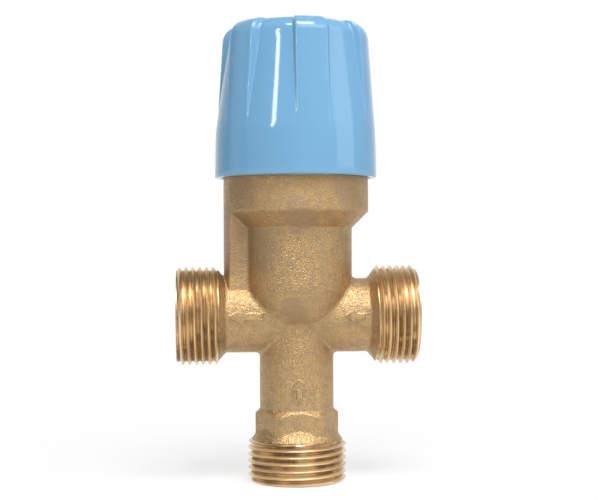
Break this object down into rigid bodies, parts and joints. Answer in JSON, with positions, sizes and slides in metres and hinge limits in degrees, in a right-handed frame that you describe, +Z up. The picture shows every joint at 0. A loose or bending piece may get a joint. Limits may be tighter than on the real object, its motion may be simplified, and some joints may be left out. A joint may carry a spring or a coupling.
{
  "type": "thermostatic mixing valve",
  "caption": "Anti-scald thermostatic mixing valve: cast brass body with threaded hot, cold and mixed ports, a turned temperature cap and its working parts inside.",
  "frame": {"origin": "centre of the cold inlet's end face, at the bottom", "axes": "+Z up the barrel to the cap, +X out of the hot inlet, -X out of the mixed outlet, -Y the front"},
  "size_m": [0.0644, 0.0436, 0.1225],
  "materials": {
    "cast_brass": "bead-blasted casting with machined threads",
    "turned_brass": "turned",
    "cap_plastic": "glossy moulded",
    "washer_plastic": "plain",
    "seal_rubber": "moulded",
    "steel": "spring steel"
  },
  "bodies": {
    "valve": {"valve_body": "cast_brass", "bonnet": "turned_brass", "bonnet_seal": "seal_rubber", "thrust_washer": "washer_plastic", "seat_sleeve": "turned_brass", "sleeve_seal": "seal_rubber", "return_spring": "steel", "spring_plate": "steel", "retaining_ring": "steel"},
    "handle": {"temperature_cap": "cap_plastic", "cap_plug": "cap_plastic", "cap_screw": "steel", "adjusting_spindle": "turned_brass", "spindle_clip": "steel", "spindle_seal_lower": "seal_rubber", "spindle_seal_upper": "seal_rubber"},
    "nut": {"drive_nut": "turned_brass", "nut_snap_ring": "steel", "overload_spring": "steel"},
    "pusher": {"overload_cup": "turned_brass", "capsule_pin": "steel"},
    "regulator": {"regulating_slide": "turned_brass", "slide_seal": "seal_rubber", "cold_disc": "turned_brass", "wax_capsule": "turned_brass"}
  },
  "joints": [
    {"name": "cap_turn", "type": "hinge", "parent": "valve", "child": "handle", "pos_m": [0, 0, 0.109], "axis": [0, 0, 1], "range_deg": [-270, 270]},
    {"name": "nut_travel", "type": "slide", "parent": "valve", "child": "nut", "axis": [0, 0, 1], "range_m": [-0.00112, 0.00112]},
    {"name": "overload_travel", "type": "slide", "parent": "nut", "child": "pusher", "axis": [0, 0, 1], "range_m": [0, 0.0015], "stiffness_N_per_m": 2000, "springref_m": -0.002, "deforming": ["overload_spring"]},
    {"name": "slide_travel", "type": "slide", "parent": "valve", "child": "regulator", "axis": [0, 0, 1], "range_m": [-0.0012, 0.0012], "stiffness_N_per_m": 2500, "deforming": ["return_spring"]}
  ],
  "couplings": [
    {"joint": "cap_turn", "follows": "nut_travel", "rad_per_m": 4188.8}
  ]
}
